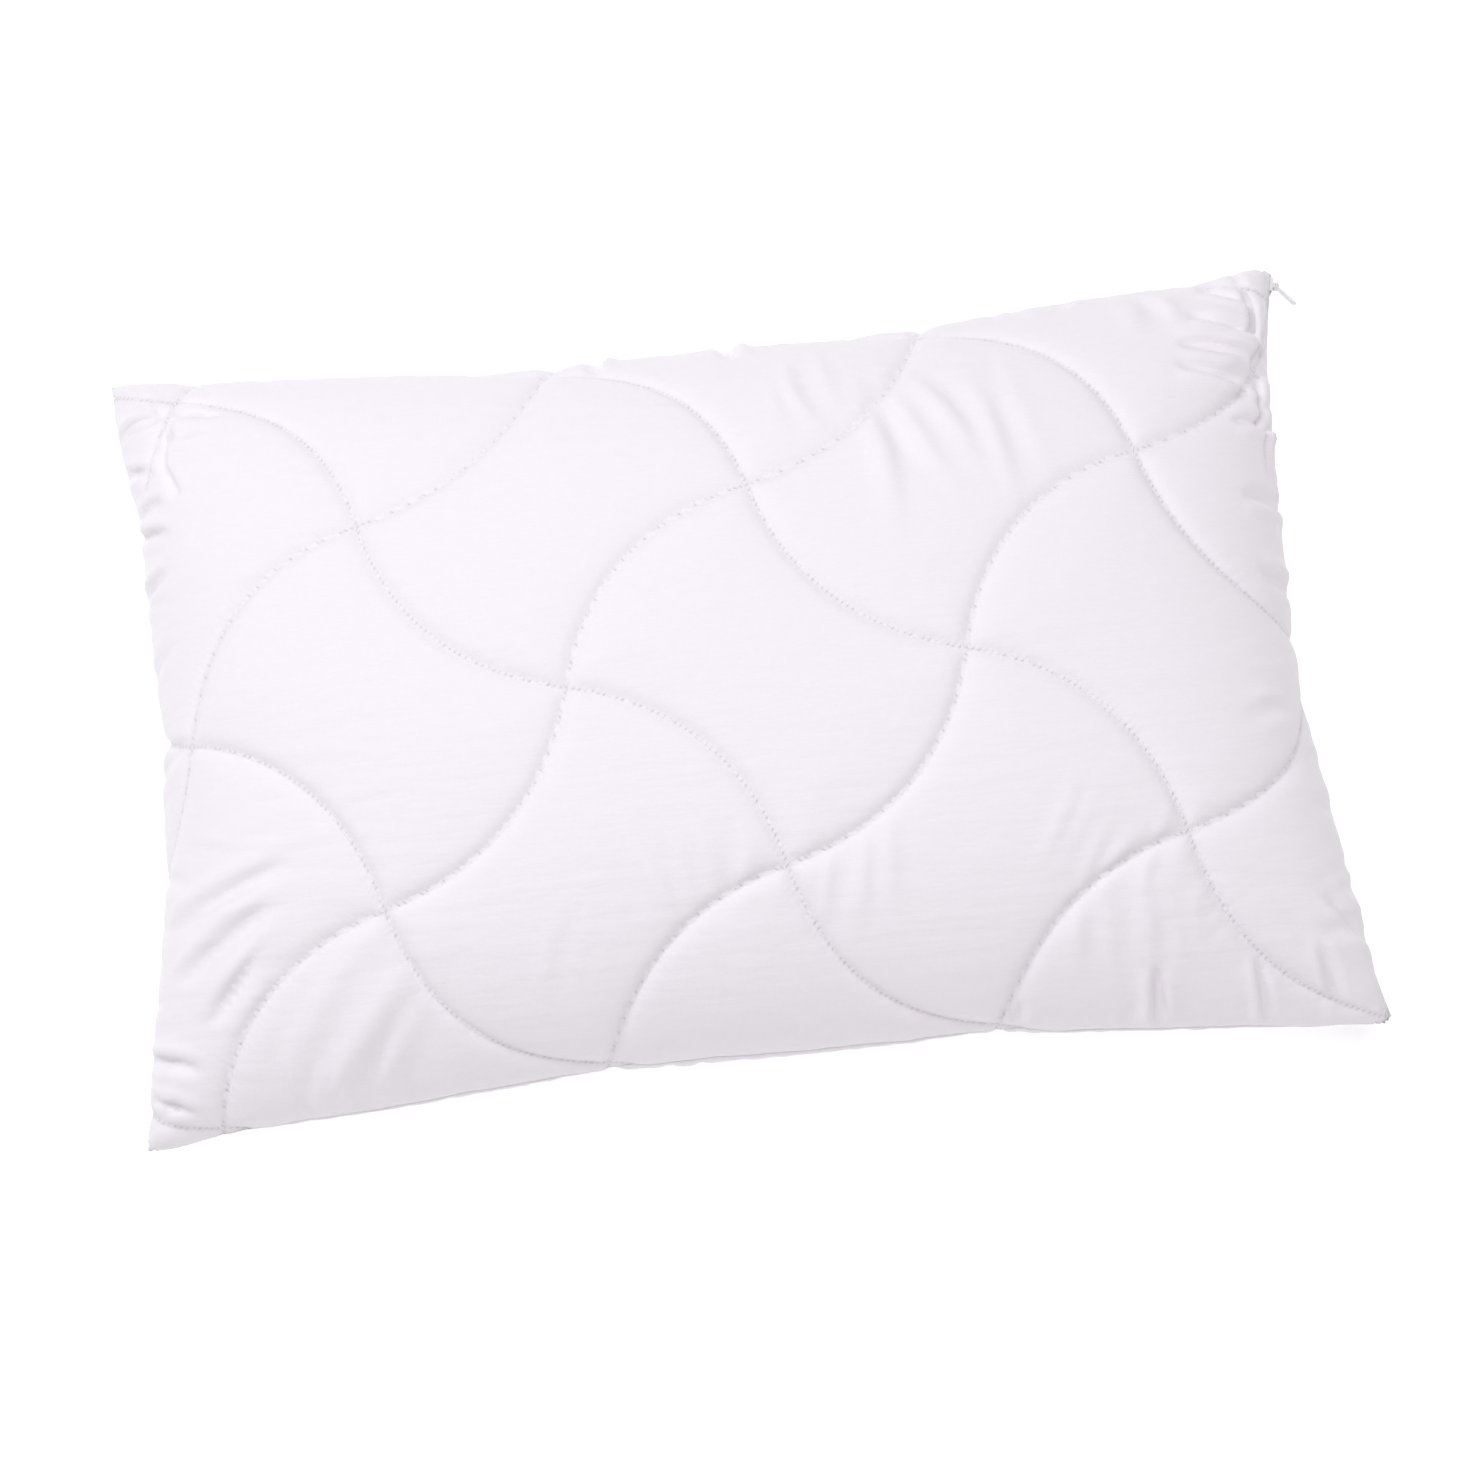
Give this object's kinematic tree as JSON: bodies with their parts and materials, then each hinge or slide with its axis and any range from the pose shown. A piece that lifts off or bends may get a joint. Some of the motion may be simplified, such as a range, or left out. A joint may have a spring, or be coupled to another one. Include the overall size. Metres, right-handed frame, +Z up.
{
  "type": "bed pillow",
  "caption": "Rectangular quilted bed pillow with crossing wave stitching, a closed zip along one short side and a loose fibre filling.",
  "frame": {"origin": "centre of the flat face that the pillow rests on", "axes": "+Z up, +X towards the short side with the zip, +Y towards the long side with the care label"},
  "size_m": [0.7309, 0.4784, 0.1455],
  "materials": {
    "outer_cloth": "fine plain-weave microfibre with a slight silky sheen",
    "wadding": "soft matt polyester wadding",
    "lining": "thin matt non-woven",
    "fibre": "loose crimped hollow fibre",
    "thread": "spun polyester sewing thread",
    "zip_tape": "woven polyester tape",
    "zip_coil": "satin nylon coil",
    "zip_metal": "white lacquer, worn thin on the edges",
    "label": "smooth woven ribbon, blank"
  },
  "bodies": {
    "pillow": {"front_outer_fabric": "outer_cloth", "front_wadding": "wadding", "front_lining": "lining", "back_outer_fabric": "outer_cloth", "back_wadding": "wadding", "back_lining": "lining", "fibre_filling": "fibre", "front_quilting_thread": "thread", "back_quilting_thread": "thread", "seam_thread": "thread", "zip_stitching_upper": "thread", "zip_stitching_lower": "thread", "zip_tape_upper": "zip_tape", "zip_tape_lower": "zip_tape", "zip_coil_upper": "zip_coil", "zip_coil_lower": "zip_coil", "zip_top_stop_upper": "zip_metal", "zip_top_stop_lower": "zip_metal", "zip_bottom_stop": "zip_metal"},
    "slider": {"zip_slider": "zip_metal", "zip_slider_pin": "zip_metal"},
    "pull_tab": {"zip_pull_tab": "zip_metal"},
    "label": {"care_label": "label"}
  },
  "joints": [
    {"name": "slider_travel", "type": "hinge", "parent": "pillow", "child": "slider", "pos_m": [1.38956, 0, 0.062], "axis": [0, 0, 1], "range_deg": [0, 24.5]},
    {"name": "pull_tab_swing", "type": "hinge", "parent": "slider", "child": "pull_tab", "pos_m": [0.3601, 0.22404, 0.062], "axis": [0, 0, 1], "range_deg": [-49, 128]},
    {"name": "care_label_flap", "type": "hinge", "parent": "pillow", "child": "label", "pos_m": [0.2, 0.2225, 0.061], "axis": [0.9973, 0.0728, 0], "range_deg": [-15, 120]}
  ]
}
